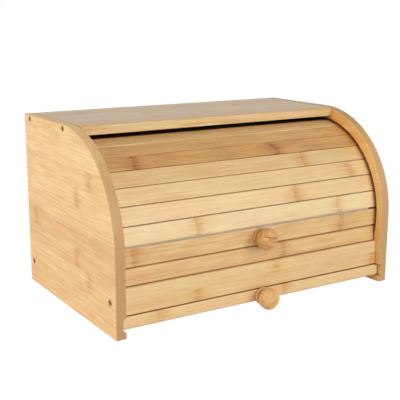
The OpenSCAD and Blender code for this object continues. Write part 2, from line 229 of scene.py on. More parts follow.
def strip_table(tree, side, first, pitch, strips):
    """A ramp with one step for each strip: tone, knuckle, knuckle. side is the place across the strips."""
    last = first + pitch * len(strips)
    share = add(tree, "MapRange", {"Value": side, "From Min": first * MM, "From Max": last * MM})
    table = add(tree, "ValToRGB", {"Fac": share})
    ramp = table.color_ramp
    ramp.interpolation = "CONSTANT"
    ramp.elements.remove(ramp.elements[1])
    for i, (tone, *knuckles) in enumerate(strips):
        step = ramp.elements[0] if i == 0 else ramp.elements.new(i / len(strips))
        places = [(k + REACH) / (2 * REACH) for k in (*knuckles, NO_KNUCKLE, NO_KNUCKLE)[:2]]
        step.color = (tone, *places, 1)
    return add(tree, "SeparateColor", {"Color": table}).outputs


def cut_strips(count, low=0.2, high=0.8):
    """Strips as they come from the saw: any tone, and a knuckle now and then."""
    ranges = ((low, high), FIRST_KNUCKLE, SECOND_KNUCKLE)
    return [tuple(random.uniform(*ends) for ends in ranges) for _ in range(count)]


random.seed(37)
print("a strip from the saw:", [round(v, 2) for v in cut_strips(1)[0]])

# %% [markdown]
# ## Layers of grain
#
# A Mapping node squeezes the coordinates, so that round noise comes out long and thin. A layer of grain is
# such a noise with its middle levels stretched, so that it goes all the way from 0 to 1. Real fibres are
# about 0.4 mm wide, finer than a pixel of this picture, so the finest streaks are drawn about 1 mm wide.

# %% Layers of grain
# Each layer has a streak's length and width in mm, the noise's detail, and the levels that become 0 and 1.
FIBRE = (55, 1.0, 3, 0.32, 0.68)
BAND = (90, 3.2, 2, 0.34, 0.66)  # changes of tone from one bundle of fibres to the next
CLOUD = (40, 9, 2, 0.35, 0.7)  # patches where the wood is darker
DRIFT = (60, 14, 1, 0.3, 0.7)  # patches where the wood is yellower or redder
DASH = (13, 0.9, 2, 0.5, 0.72)  # the short dark ends of fibre bundles
DOTS = (6, 1.4, 1, 0.35, 0.7)  # cut fibres on a sawn end


def streaks(tree, place, grain, length, width, detail, seed):
    """Noise drawn out along the grain to streaks of that length and width in mm."""
    scale = [1 / (length * MM) if axis == grain else 1 / (width * MM) for axis in "XYZ"]
    squeezed = add(tree, "Mapping", {"Vector": place, "Scale": scale})
    sockets = {"Vector": squeezed, "W": seed, "Scale": 1, "Detail": detail, "Roughness": 0.6}
    return add(tree, "TexNoise", sockets, noise_dimensions="4D")


def spread(tree, value, low, high, bottom=0.0, top=1.0):
    """value from low to high becomes bottom to top, with a soft start and end."""
    sockets = {"Value": value, "From Min": low, "From Max": high, "To Min": bottom, "To Max": top}
    return add(tree, "MapRange", sockets, interpolation_type="SMOOTHSTEP")


def layer(tree, place, grain, kind, seed, bottom=0.0, top=1.0):
    """One layer of grain, which goes from bottom to top."""
    length, width, detail, low, high = kind
    return spread(tree, streaks(tree, place, grain, length, width, detail, seed), low, high, bottom, top)


def blend(tree, amount, first, second):
    """The colour that goes from first to second as amount goes from 0 to 1."""
    mix = add(tree, "Mix", {"Factor": amount, 6: first, 7: second}, data_type="RGBA")
    return mix.outputs[2]


print("fibres", FIBRE[0], "mm long and", FIBRE[1], "mm wide")

# %% [markdown]
# ## Plain wood
#
# The wood between the knuckles goes from a light to a dark tone. Nearly half of that is the strip's own tone,
# from the table, and half comes from the layers. The hue drifts a very little as well, because real bamboo is
# never one yellow all over.

# %% Plain wood
BASE_TONE = 0.05  # the tone of the lightest strip where every layer is at its lightest
STRIP_SHARE = 0.45  # how much of the tone comes from the strip, and then from each layer
LAYER_SHARES = ((FIBRE, 0.2), (BAND, 0.14), (CLOUD, 0.16))
HUE = (0.495, 0.505)  # 0.5 leaves a hue as it is


def plain_wood(tree, place, grain, strip_tone, own, tones):
    """The wood between the knuckles, its fibres and its bands."""
    tone = add(tree, "Math", {0: strip_tone, 1: STRIP_SHARE, 2: BASE_TONE}, operation="MULTIPLY_ADD")
    layers = []
    for kind, share in LAYER_SHARES:
        layers.append(layer(tree, place, grain, kind, own))
        tone = add(tree, "Math", {0: layers[-1], 1: share, 2: tone}, operation="MULTIPLY_ADD")
    wood = blend(tree, tone, linear(tones["light"]), linear(tones["dark"]))
    hue = layer(tree, place, grain, DRIFT, own, *HUE)
    fibre, band, _ = layers
    return add(tree, "HueSaturation", {"Hue": hue, "Color": wood}), fibre, band


print("the layers give", round(sum(share for _, share in LAYER_SHARES), 2), "of the tone")

# %% [markdown]
# ## Knuckles
#
# A knuckle is where a wall crossed the hollow cane. On the planed strip it shows as a soft halo, two dark
# lines about 5 mm apart, and short dashes where bundles of fibres end. Along the strip, the halo and the
# lines are two curves over the distance from the knuckle. Each is a colour ramp with smooth steps, which is
# easier to shape than a formula.

# %% The profile of a knuckle
KNUCKLE_END = 20  # where a knuckle's marks have faded out, mm
KNUCKLE_HALO = (
    (-15, 0.05), (-9, 0.22), (-3.5, 0.45), (0, 0.7), (4, 0.7), (8, 0.4), (13, 0.15), (18, 0.03),
)
KNUCKLE_LINE = (
    (-2, 0.05), (-1, 0.3), (-0.2, 0.95), (0.8, 0.5), (2.6, 0.22), (4.4, 0.5), (5.4, 0.2), (7, 0.03),
)


def profile(tree, far, steps):
    """A curve through steps = (mm, height), read at far, the distance from a knuckle in mm."""
    ends = {"From Min": -KNUCKLE_END, "From Max": KNUCKLE_END}
    curve = add(tree, "ValToRGB", {"Fac": add(tree, "MapRange", {"Value": far, **ends})})
    ramp = curve.color_ramp
    ramp.interpolation = "B_SPLINE"
    ramp.elements[0].color = ramp.elements[1].color = (0, 0, 0, 1)
    for mm, height in steps:
        ramp.elements.new((mm + KNUCKLE_END) / (2 * KNUCKLE_END)).color = (height, height, height, 1)
    return curve


def knuckle_marks(tree, along, knuckle, wander):
    """The soft halo and the dark lines of a knuckle, each from 0 to 1."""
    here = add(tree, "MapRange", {"Value": along, "From Min": -REACH * MM, "From Max": REACH * MM})
    off = add(tree, "Math", {0: here, 1: knuckle}, operation="SUBTRACT")
    far = add(tree, "Math", {0: off, 1: 2 * REACH, 2: wander}, operation="MULTIPLY_ADD")
    return profile(tree, far, KNUCKLE_HALO), profile(tree, far, KNUCKLE_LINE)


print("a knuckle's marks fade out", KNUCKLE_END, "mm away")

# %% [markdown]
# A straight line right across the strip would look printed. So noise bends the lines, single fibres fray
# them, and the bands of the wood wear them away in places, as sanding does.

# %% Draw the knuckles
BEND = (300, 14, 1)  # length and width of a knuckle line's wanderings in mm, and the noise's detail
BEND_BY = 8  # how far the line wanders, mm
JAG_BY = 1.6  # how far single fibres push it further, mm
WORN_TO = 0.45  # what is left of a knuckle where it is worn most
DASHES = (0.3, 0.9)  # how strong the dashes are far from a knuckle and in its halo
FULL_HALO = 0.7  # the height of the halo where the dashes are strongest


def draw_knuckles(tree, wood, place, grain, table, own, fibre, band, tones, sharp):
    """The wood with the table's knuckles, their lines drawn as clearly as sharp says."""
    along = add(tree, "SeparateXYZ", {0: place}).outputs[grain]
    bend = streaks(tree, place, grain, *BEND, own)
    ends = {"From Min": 0, "From Max": 1, "To Min": -BEND_BY, "To Max": BEND_BY}
    wander = add(tree, "MapRange", {"Value": bend, **ends})
    wander = add(tree, "Math", {0: fibre, 1: JAG_BY, 2: wander}, operation="MULTIPLY_ADD")
    marks = [knuckle_marks(tree, along, table[column], wander) for column in ("Green", "Blue")]
    halos, lines = (add(tree, "Math", {0: a, 1: b}, operation="MAXIMUM") for a, b in zip(*marks))

    dash = layer(tree, place, grain, DASH, own)
    near = spread(tree, halos, 0, FULL_HALO, *DASHES)
    dashes = add(tree, "Math", {0: dash, 1: near}, operation="MULTIPLY")
    wood = blend(tree, dashes, wood, linear(tones["halo"]))
    worn = spread(tree, band, 0, 1, WORN_TO, 1)
    crisp = add(tree, "Math", {0: worn, 1: sharp}, operation="MULTIPLY")
    for mark, share, colour in ((halos, worn, tones["halo"]), (lines, crisp, tones["ring"])):
        amount = add(tree, "Math", {0: mark, 1: share}, operation="MULTIPLY")
        wood = blend(tree, amount, wood, linear(colour))
    return wood


print("a knuckle's lines wander by less than", BEND_BY + JAG_BY, "mm")

# %% [markdown]
# ## Glue lines and sawn ends
#
# Two strips meet in a hair-fine line of glue. At a sawn end the fibres are seen from their tips: the surface
# there is dotted and drinks more lacquer, so it is darker and a little greyer.
#
# Faces could be picked for this one by one, but a board's coordinates say as much. The distance to the next
# glue line is the place across the strips, folded to and fro, and a normal along the grain means a sawn end.

# %% Draw the glue lines and the sawn ends
GLUE_LINE = 0.35  # half width of the line between strips, mm
GLUE_SHARE = 0.3
END_FACES = (0.35, 1)  # how far a face has to turn towards the grain to count as sawn
DOT_SHARE = 0.3


def draw_glue_lines(tree, wood, side, first, pitch, tones):
    """The wood with a fine dark line wherever two strips meet."""
    offset = add(tree, "Math", {0: side, 1: first * MM}, operation="SUBTRACT")
    to_edge = add(tree, "Math", {0: offset, 1: pitch * MM / 2}, operation="PINGPONG")
    nearest = add(tree, "Math", {0: to_edge, 1: offset}, operation="MINIMUM")
    glue = spread(tree, nearest, 0, GLUE_LINE * MM, GLUE_SHARE, 0)
    return blend(tree, glue, wood, linear(tones["dark"]))


def draw_sawn_ends(tree, wood, place, normal, grain, own, tones):
    """The wood with dotted and darker faces where it was sawn across the grain."""
    facing = add(tree, "SeparateXYZ", {0: normal}).outputs[grain]
    sawn = spread(tree, add(tree, "Math", {0: facing}, operation="ABSOLUTE"), *END_FACES)
    dots = layer(tree, place, grain, DOTS, own, 0, DOT_SHARE)
    return blend(tree, sawn, wood, blend(tree, dots, linear(tones["end"]), linear(tones["dark"])))


print("glue lines", 2 * GLUE_LINE, "mm wide")

# %% [markdown]
# ## Painted light and shade
#
# Some marks here are painted light and shade, put into the colour. Faces that look up get a colour of their
# own: a pale painted highlight on some slats, so that the gaps below them look lit, and a painted shade on
# the top board and the top of the right panel, where less light falls. The slats' ends get a brown painted
# shadow where they meet the panels. The two slats that hide under the top board get a painted shadow, nearly
# black, on the outside only.
#
# Such marks could be painted on an image. Here the place and the normal say where they are, so they have the
# same sharpness in every view and nothing needs unwrapping.

# %% Draw the painted light and shade
UPPER_FACES = (0.6, 0.95)  # how far a face has to turn up, as its normal's height
OUTER_FACES = (-0.3, 0)  # the same for the outside of a slat that hides under the top board
# the painted shadow on the slats' ends, where they meet the panels
END_PAINTED_SHADOW = "964C0C"
END_SHADOW_SHARE = 0.8
END_SHADOW_BLUR = 1  # mm
# the painted shadow, nearly black, on the two slats under the top board's front edge
UNDER_BOARD_SHADOW = "200B03"
UNDER_BOARD_SHADOW_BLUR = 0.7  # mm


def draw_painted_shading(tree, wood, place, normal, up=None, end_shadow=None, under_board_shadow=None):
    """The wood with painted light and shade. up = (colour, share) lies over the faces that look up: a painted
    highlight where it is pale, a painted shade where it is dark. The slats' ends get a brown painted shadow
    beyond the given x in mm, on either side, and the outside gets a nearly black painted shadow behind the
    given y in mm."""
    axes = add(tree, "SeparateXYZ", {0: place}).outputs
    upward = add(tree, "SeparateXYZ", {0: normal}).outputs["Z"]
    if up:
        colour, share = up
        wood = blend(tree, spread(tree, upward, *UPPER_FACES, 0, share), wood, linear(colour))
    if end_shadow:
        start, end = (end_shadow - END_SHADOW_BLUR) * MM, (end_shadow + END_SHADOW_BLUR) * MM
        far = add(tree, "Math", {0: axes["X"]}, operation="ABSOLUTE")
        wood = blend(tree, spread(tree, far, start, end, 0, END_SHADOW_SHARE), wood, linear(END_PAINTED_SHADOW))
    if under_board_shadow is not None:
        start, end = (under_board_shadow - UNDER_BOARD_SHADOW_BLUR) * MM, (under_board_shadow + UNDER_BOARD_SHADOW_BLUR) * MM
        behind, outside = spread(tree, axes["Y"], start, end), spread(tree, upward, *OUTER_FACES)
        shadowed = add(tree, "Math", {0: outside, 1: behind}, operation="MULTIPLY")
        wood = blend(tree, shadowed, wood, linear(UNDER_BOARD_SHADOW))
    return wood


print("wear on faces turned up by more than", round(math.degrees(math.asin(UPPER_FACES[0]))), "degrees")

# %% [markdown]
# ## The lacquered surface
#
# Clear satin lacquer lies over the wood: a clean highlight of its own above a duller one from the wood, with
# an index of refraction of 1.5. The bump is only what the grain leaves under two coats, a few hundredths of a
# millimetre.
#
# Two things happen at the edges. Sanding rounds them, which the Bevel node shows to the light without
# changing the mesh. And the gaps get a painted shade: the Ambient Occlusion node finds them and darkens the
# wood there towards a warm brown, as light turns browner when it bounces from wood to wood in a narrow gap.

# %% Lacquer
LACQUER_IOR = 1.5
WOOD_ROUGHNESS = (0.5, 0.62)
COAT_ROUGHNESS = 0.3
GRAIN_DEPTH = 0.05  # mm
GRAIN_STRENGTH = 0.35
WORN_EDGE = 1.2  # radius, mm
EDGE_RAYS = 6
GAP_REACH = 4  # how near another surface has to be to count as a gap, mm
# the warm brown of the painted shade in gaps
GAP_PAINTED_SHADE = "943C00"
GAP_KEEPS = 0.68  # how much of its own colour wood keeps under the painted shade in a gap
GAP_BOTTOM = 0.1  # how open the air is where the painted gap shade is full
GAP_MOUTH = 0.95  # and where the strongest painted shade would end


def lacquer(tree, colour, fibre, coat=0.15, keeps=GAP_KEEPS):
    """The surface of sanded wood under a thin satin coat, with its edges worn round and a painted shade in
    its gaps.
    """
    worn = add(tree, "Bevel", {"Radius": WORN_EDGE * MM}, samples=EDGE_RAYS)
    depth = {"Strength": GRAIN_STRENGTH, "Distance": GRAIN_DEPTH * MM}
    bump = add(tree, "Bump", {**depth, "Height": fibre, "Normal": worn})
    around = add(tree, "AmbientOcclusion", {"Distance": GAP_REACH * MM}, samples=EDGE_RAYS)
    mouth = GAP_MOUTH - keeps / 2  # a stronger painted shade also reaches further out
    kept = spread(tree, around.outputs["AO"], GAP_BOTTOM, mouth, keeps, 1)
    colour = blend(tree, kept, linear(GAP_PAINTED_SHADE), colour)
    dullness = spread(tree, fibre, 0, 1, *WOOD_ROUGHNESS)
    sockets = {"Base Color": colour, "Roughness": dullness, "IOR": LACQUER_IOR, "Normal": bump}
    gloss = {"Coat Weight": coat, "Coat Roughness": COAT_ROUGHNESS, "Coat IOR": LACQUER_IOR}
    add(tree, "OutputMaterial", {"Surface": add(tree, "BsdfPrincipled", {**sockets, **gloss})})


def new_finish(name):
    """An empty material and its node tree."""
    material = bpy.data.materials.new(name)
    material.use_nodes = True
    material.node_tree.nodes.clear()
    return material, material.node_tree


print("satin coat of roughness", COAT_ROUGHNESS, "over wood of", WOOD_ROUGHNESS)

# %% [markdown]
# ## One bamboo finish
#
# All of the above goes together here. Every board gets the same wood from another seed, with its own strips
# and tones, and each strip moves the noise on, so that no fibre crosses a glue line. The six sets of tones
# hold the light and the dark wood, a knuckle's halo and its lines, and the sawn end.

# %% Bamboo
SEED_STEP = 40  # how far the noise moves on from a dark strip to a light one


def bamboo(
    name, grain, across, first, pitch, strips, tones, seed=0, coat=0.15, sharp=1.0, keeps=GAP_KEEPS, **shading
):
    """Lacquered bamboo whose strips lie along grain, and side by side along across, from first on.

    first and pitch, a strip's width, are in mm. coat is how much gloss the lacquer has, sharp how clearly a
    knuckle's lines are drawn, and keeps how much of its colour the wood keeps under the painted shade in a
    gap."""
    material, tree = new_finish(name)
    where = add(tree, "TexCoord").outputs
    place, normal = where["Object"], where["Normal"]
    side = add(tree, "SeparateXYZ", {0: place}).outputs[across]
    table = strip_table(tree, side, first, pitch, strips)
    own = add(tree, "Math", {0: table["Red"], 1: SEED_STEP, 2: seed}, operation="MULTIPLY_ADD")
    wood, fibre, band = plain_wood(tree, place, grain, table["Red"], own, tones)
    wood = draw_knuckles(tree, wood, place, grain, table, own, fibre, band, tones, sharp)
    wood = draw_glue_lines(tree, wood, side, first, pitch, tones)
    wood = draw_sawn_ends(tree, wood, place, normal, grain, own, tones)
    wood = draw_painted_shading(tree, wood, place, normal, **shading)
    lacquer(tree, wood, fibre, coat, keeps)
    return material


HONEY = {"light": "FFE3A8", "dark": "C78844", "halo": "CF9448", "ring": "98552A", "end": "C69A68"}
STRAW = {"light": "FAE0AC", "dark": "D6A561", "halo": "DC9C48", "ring": "9E6132", "end": "CCA370"}
PALE = {"light": "FCE8BC", "dark": "E2BA7A", "halo": "DEA65A", "ring": "AA6F42", "end": "CCA370"}
AMBER = {"light": "FAC97C", "dark": "A0612A", "halo": "AC681E", "ring": "8E4200", "end": "A6763F"}
ORANGE = {"light": "FFDE94", "dark": "DF9A46", "halo": "CF8A3C", "ring": "98552A", "end": "C4A070"}
DUSTY = {"light": "FFEEBE", "dark": "C8944C", "halo": "DC9C48", "ring": "9E6132", "end": "CCA370"}
print("honey, straw, pale, amber, orange and dusty are the six sets of tones of this box")

# %% [markdown]
# ## Boards
#
# Each board gets its own run of strips. Where the photograph shows a knuckle, its place is written down: five
# on the left panel, three on the rail and two on the drawer's front. The right panel's strips are listed too,
# so that the top of its inner face, which is all that shows, is as dark as in the photograph; the darker
# strips at its top are painted shade. The others come from the saw, apart from the dark strip at the top
# board's front edge.

# %% The strips of the boards in view
# Each strip has a tone and the places of its knuckles along the grain, in mm from the middle.
LEFT_STRIPS = [
    (0.55,), (0.5,), (0.42, -47.6), (0.62, -18.3), (0.7, 96),
    (0.45,), (0.3, -20.7), (0.42, -52.3), (0.25,), (0.4,),
]
# the darker strips at the top of the right panel are painted shade: the top of its inner face gets less light
RIGHT_STRIPS = [
    (0.45, 60), (0.6, 95), (0.35,), (0.5, 30), (0.4, 75),
    (0.6, 15), (0.45, 100), (0.55,), (0.7, 50), (0.95, 85),
]
RAIL_STRIPS = [(0.42, 165, -86), (0.32, 19)]
DRAWER_STRIPS = [(0.2, -133, 30)]
TOP_EDGE = (0.8,)
# painted shade on the faces that look up, on the top board and on the top of the right panel, where less
# light falls
TOP_PAINTED_SHADE = ("AC8250", 0.45)
RIGHT_PAINTED_SHADE = ("A08558", 0.6)
FRONT_COAT = 0.3
print("the left panel is glued from", len(LEFT_STRIPS), "strips")

# %% [markdown]
# The measured boards have the right form, so a finish is all they need. The top board, the rail and the
# drawer's front shine a little more than the rest, and the deep gaps round the last two get the most painted
# shade.


# %% Finish the boards
def finish(piece, material):
    """Gives a measured piece one finish all over."""
    mesh = boards[piece].data
    mesh.materials.clear()
    mesh.materials.append(material)


wood = bamboo("bamboo_left_panel", "Y", "Z", -12.4, 21.9, LEFT_STRIPS, HONEY, sharp=0.4)
finish("side_panel_left", wood)
wood = bamboo("bamboo_right_panel", "Y", "Z", -6, 21.2, RIGHT_STRIPS, ORANGE, seed=3, up=RIGHT_PAINTED_SHADE)
finish("side_panel_right", wood)
top_strips = [TOP_EDGE, *cut_strips(8)]
wood = bamboo("bamboo_top", "X", "Y", -30, 19.5, top_strips, DUSTY, seed=5, coat=0.42, sharp=0.4, up=TOP_PAINTED_SHADE)
finish("top_board", wood)
finish("back_board", bamboo("bamboo_back", "X", "Z", 20, 20.5, cut_strips(10), HONEY, seed=7))
finish("floor_board", bamboo("bamboo_floor", "X", "Y", -115, 21, cut_strips(12), HONEY, seed=9))
front = {"coat": FRONT_COAT, "sharp": 0.35, "keeps": 0.45}
finish("front_rail", bamboo("bamboo_rail", "X", "Z", 21.5, 14.7, RAIL_STRIPS, STRAW, seed=11, **front))
front = {"coat": FRONT_COAT, "sharp": 0.2, "keeps": 0.2}
finish("drawer_front", bamboo("bamboo_drawer_front", "X", "Z", 9, 13, DRAWER_STRIPS, STRAW, seed=13, **front))
finish("drawer_back", bamboo("bamboo_drawer_back", "X", "Z", 0, 30, cut_strips(1), HONEY, seed=15))
finish("drawer_bottom", bamboo("bamboo_drawer_bottom", "X", "Y", -120, 24, cut_strips(11), HONEY, seed=17))
for piece, seed in (("drawer_side_left", 19), ("drawer_side_right", 21)):
    finish(piece, bamboo("bamboo_" + piece, "Y", "Z", 0, 30, cut_strips(1), HONEY, seed=seed))
print("boards finished")

# %% [markdown]
# ## Slats
#
# A roll front is sawn from odd strips, so each slat has its own tone: the third from the bottom is the
# palest, and the seventh and eighth are dark, like toasted bamboo. Each slat is one strip of cane, so its
# table has one row: a tone and the places of its knuckles, read from the photograph.

# %% Finish the slats
SLATS = {  # from the bottom up
    1: (HONEY, 0.55, 32),
    2: (HONEY, 0.5, -156, 116),
    3: (PALE, 0.42, -82, 115),
    4: (STRAW, 0.36, 56),
    5: (STRAW, 0.27, 143),
    6: (STRAW, 0.55, 80),
    7: (AMBER, 0.5, -132, 50),
    8: (AMBER, 0.27),
    9: (HONEY, 0.25),
    10: (AMBER, 0.3),
    11: (AMBER, 0.5),
}
FIRST_SEED = 30
ONE_STRIP = 400  # wider than any slat lies high, mm
UNDER_BOARD_SHADOW_FROM = {10: -0.7, 11: -50}  # the painted shadow under the top board starts behind this y, mm
END_SHADOW_FROM = 171.6  # the painted shadow on the slats' ends starts at this distance from the middle, mm
# painted highlight on the upper faces of slats 2 to 5, so that the gaps below them look lit
GAP_EDGE_HIGHLIGHT = "F0E4D2"
EDGE_HIGHLIGHT_SHARE = {2: 0.9, 3: 0.7, 4: 0.7, 5: 0.3}  # how much of the painted highlight lies on a slat's upper faces
GAP_SHARE = {1: 0.8, 2: 0.85, 3: 0.95, 4: 1, 5: 1, 6: 0.9}  # what keeps more of its colour under the painted shade in a gap

for number, (tones, *strip) in SLATS.items():
    name = f"slat_{number:02d}"
    look = {
        # the slats with the painted shadow get no gloss, so it stays dark
        "coat": 0 if number in UNDER_BOARD_SHADOW_FROM else FRONT_COAT,
        "sharp": 1.4 if tones is AMBER else 0.6,
        "keeps": GAP_SHARE.get(number, GAP_KEEPS),
        "up": (GAP_EDGE_HIGHLIGHT, EDGE_HIGHLIGHT_SHARE[number]) if number in EDGE_HIGHLIGHT_SHARE else None,
        "end_shadow": END_SHADOW_FROM,
        "under_board_shadow": UNDER_BOARD_SHADOW_FROM.get(number),
    }
    seed = FIRST_SEED + number
    finish(name, bamboo("bamboo_" + name, "X", "Z", 0, ONE_STRIP, [strip], tones, seed=seed, **look))
print(len(SLATS), "slats finished")

# %% [markdown]
# ## Turned knobs
#
# A knob is turned on a lathe from a laminated bamboo block: a low foot, a narrow groove and a wide rounded
# head. A lathe tool does ring after ring, and so does this: a circle is extruded and scaled once for each
# ring of the profile. A spin of the outline would give the same form, but the rings are easier to read off
# the photograph.

# %% Turn a knob
KNOB_RINGS = [  # height above the wood and radius, mm
    (0, 9.6), (0.5, 10), (3.6, 10), (4.4, 9.4), (4.6, 7.4), (5.2, 7), (6.2, 7), (6.7, 7.6), (6.9, 9.5),
    (7.8, 10.8), (9.4, 11.7), (11.4, 12.1), (13.2, 12.2), (15.2, 12.2), (17, 11.6), (18.6, 10.6), (19.8, 9.5),
    (20.9, 7.8), (21.6, 5.4), (22, 2),
]
KNOB_SIDES = 64
SMOOTH_BELOW = 40  # degrees between faces


def turn_knob(name, foot, droop=0.0):
    """A knob that stands out to the front from its foot, a point in mm, and points down by droop degrees."""
    bpy.ops.object.select_all(action="DESELECT")
    height, radius = KNOB_RINGS[0]
    bpy.ops.mesh.primitive_circle_add(vertices=KNOB_SIDES, radius=radius * MM, fill_type="NGON")
    knob = bpy.context.object
    knob.name = knob.data.name = name
    bpy.ops.object.mode_set(mode="EDIT")
    bpy.ops.mesh.select_all(action="SELECT")
    for next_height, next_radius in KNOB_RINGS[1:]:
        rise = (next_height - height) * MM
        bpy.ops.mesh.extrude_region_move(TRANSFORM_OT_translate={"value": (0, 0, rise)})
        factor = next_radius / radius
        bpy.ops.transform.resize(value=(factor, factor, 1), center_override=(0, 0, next_height * MM))
        height, radius = next_height, next_radius
    bpy.ops.mesh.select_all(action="SELECT")
    bpy.ops.mesh.normals_make_consistent(inside=False)
    turn = math.radians(90 + droop)
    bpy.ops.transform.rotate(value=-turn, orient_axis="X", center_override=(0, 0, 0))
    bpy.ops.transform.translate(value=[c * MM for c in foot])
    bpy.ops.object.mode_set(mode="OBJECT")
    bpy.ops.object.shade_smooth_by_angle(angle=math.radians(SMOOTH_BELOW))
    return knob


def stand_for(piece, node, body):
    """The new piece takes the place of a measured one and moves with its body."""
    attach(piece, body)
    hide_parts(node)


print("a knob has", len(KNOB_RINGS), "rings")

# %% [markdown]
# ## Two knobs
#
# The upper knob stands on the second slat, square to its face, so it points down by less than a degree. The
# place follows from the centre of the slats' round track, which is where the model has the roll front's
# joint. The lower knob starts where the measured one does, on the face of the drawer's front.

# %% Place the knobs
roll = next(joint for joint in frame["joints"] if joint["name"] == "tambour_roll")
TRACK_CENTRE = Vector(roll["pos_m"]) / MM
SLAT_FACE = 107  # from the track's centre to the slats' outer faces
KNOB_ANGLE = math.radians(-0.85)  # of the second slat, above the level of the track's centre

out = Vector((0, -math.cos(KNOB_ANGLE), math.sin(KNOB_ANGLE)))
upper_foot = TRACK_CENTRE + SLAT_FACE * out
low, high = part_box("drawer_knob")
lower_foot = Vector((0, high.y, (low.z + high.z) / 2)) / MM
upper_knob = turn_knob("upper_knob", upper_foot, droop=-math.degrees(KNOB_ANGLE))
lower_knob = turn_knob("lower_knob", lower_foot)
stand_for(upper_knob, "tambour_knob", "tambour")
stand_for(lower_knob, "drawer_knob", "drawer")
for knob, node in ((upper_knob, "tambour_knob"), (lower_knob, "drawer_knob")):
    corners = [v.co / MM for v in knob.data.vertices]
    mine = [round(f(c[i] for c in corners), 2) for f in (min, max) for i in range(3)]

# %% [markdown]
# ## A crack in a knob
#
# The upper knob has a fine brown crack that follows the grain from left of the middle to the right edge. It
# is too fine to cut into the mesh, so it is a line in the colour: at one height, from one x on, and only on
# the face.

# %% Draw the crack
CRACK = (3.2, -10.5)  # its height above the axis and where it starts, mm
CRACK_WIDTH = (0.3, 0.9)  # where its brown begins and stops to fade, mm from its middle
CRACK_TAPER = 3  # mm
CRACK_DEPTH = (-16, -13)  # it is whole in front of the first y and gone behind the second, mm from the foot
CRACKED = "8C5A2C"
CRACK_SHARE = 0.8


def draw_crack(tree, wood, axes):
    """The wood with a fine crack along the grain, in front only."""
    level, start = (v * MM for v in CRACK)
    off = add(tree, "Math", {0: axes["Z"], 1: level}, operation="SUBTRACT")
    thin, wide = (v * MM for v in CRACK_WIDTH)
    line = spread(tree, add(tree, "Math", {0: off}, operation="ABSOLUTE"), thin, wide, CRACK_SHARE, 0)
    begun = spread(tree, axes["X"], start, start + CRACK_TAPER * MM)
    inside = add(tree, "Math", {0: begun, 1: line}, operation="MULTIPLY")
    front, back = (v * MM for v in CRACK_DEPTH)
    face = spread(tree, axes["Y"], front, back, 1, 0)
    inside = add(tree, "Math", {0: face, 1: inside}, operation="MULTIPLY")
    return blend(tree, inside, wood, linear(CRACKED))


print("crack", CRACK_WIDTH[1] * 2, "mm wide at most")

# %% [markdown]
# ## The knobs' wood
#
# The blocks were sawn with the grain across the knob's axis, so the face shows fibres. Each knob stopped at
# its own angle when its screw went tight, which the `turn` gives. The groove behind the head gets a dark
# brown ring, a painted shade. The wood is made as in a board, in coordinates that start at the knob's foot,
# so the groove and the crack lie at plain numbers.

# %% Finish the knobs
TURNED_FIBRE = (22, 0.9, 3, 0.3, 0.7)  # as in a board, but shorter
TURNED_CLOUD = (14, 5, 2, 0.3, 0.7)
GROOVE_AT = 5.7  # height of the groove behind the head, mm
GROOVE_WIDTH = (0.7, 1.6)  # where its painted shade begins and stops to fade, mm from its middle
# the painted shade in the groove behind the head
GROOVE_PAINTED_SHADE = "6E3A12"
GROOVE_SHADE_SHARE = 0.75


def turned_bamboo(name, foot, turn, light, dark, cracked=False):
    """Lacquered bamboo round a knob's axis, with its grain turned by that many degrees."""
    material, tree = new_finish(name)
    where = add(tree, "TexCoord").outputs["Object"]
    here = add(tree, "VectorMath", {0: where, 1: -foot * MM}, operation="ADD")
    place = add(tree, "Mapping", {"Vector": here, "Rotation": (0, math.radians(turn), 0)})
    fibre = layer(tree, place, "X", TURNED_FIBRE, turn)
    cloud = layer(tree, place, "X", TURNED_CLOUD, turn + 1)
    both = add(tree, "Math", {0: fibre, 1: cloud}, operation="ADD")
    tone = add(tree, "Math", {0: both, 1: 0.5}, operation="MULTIPLY")
    wood = blend(tree, tone, linear(light), linear(dark))
    axes = add(tree, "SeparateXYZ", {0: place}).outputs
    off = add(tree, "Math", {0: axes["Y"], 1: GROOVE_AT * MM}, operation="ADD")
    near, far = (v * MM for v in GROOVE_WIDTH)
    groove_shade = spread(tree, add(tree, "Math", {0: off}, operation="ABSOLUTE"), near, far, GROOVE_SHADE_SHARE, 0)
    wood = blend(tree, groove_shade, wood, linear(GROOVE_PAINTED_SHADE))
    if cracked:
        wood = draw_crack(tree, wood, axes)
    lacquer(tree, wood, fibre)
    return material


wood = turned_bamboo("turned_upper_knob", upper_foot, -13, "E9B577", "B9803F", cracked=True)
upper_knob.data.materials.append(wood)
wood = turned_bamboo("turned_lower_knob", lower_foot, 35, "FBCF92", "D39A52")
lower_knob.data.materials.append(wood)
print("knobs finished")

# %% [markdown]
# ## The canvas
#
# A sheet of plain-woven cotton is glued behind the slats and lets them roll. It's flat behind each slat and
# bends between two of them. The two lowest gaps are a little wider, and the canvas shows in them.
#
# The sheet could be one strip bent by a modifier, but then it would curve behind each slat as well. So it is
# made as it is glued. The first stretch, behind the lowest slat, is a plane, and its lower edge is trimmed.

# %% The first stretch of the canvas
SLAT_BACK = 101.9  # from the track's centre to the glued face
SLAT_PITCH = 10.9  # degrees
FIRST_EDGE = -17.65  # degrees
SLACK = (0.45, 0.9)  # degrees, in the two lowest gaps
LOW_TRIM = 3.4  # the canvas ends this much above the first slat's edge, mm
CANVAS_WIDTH = 334
CANVAS_THICK = 0.7

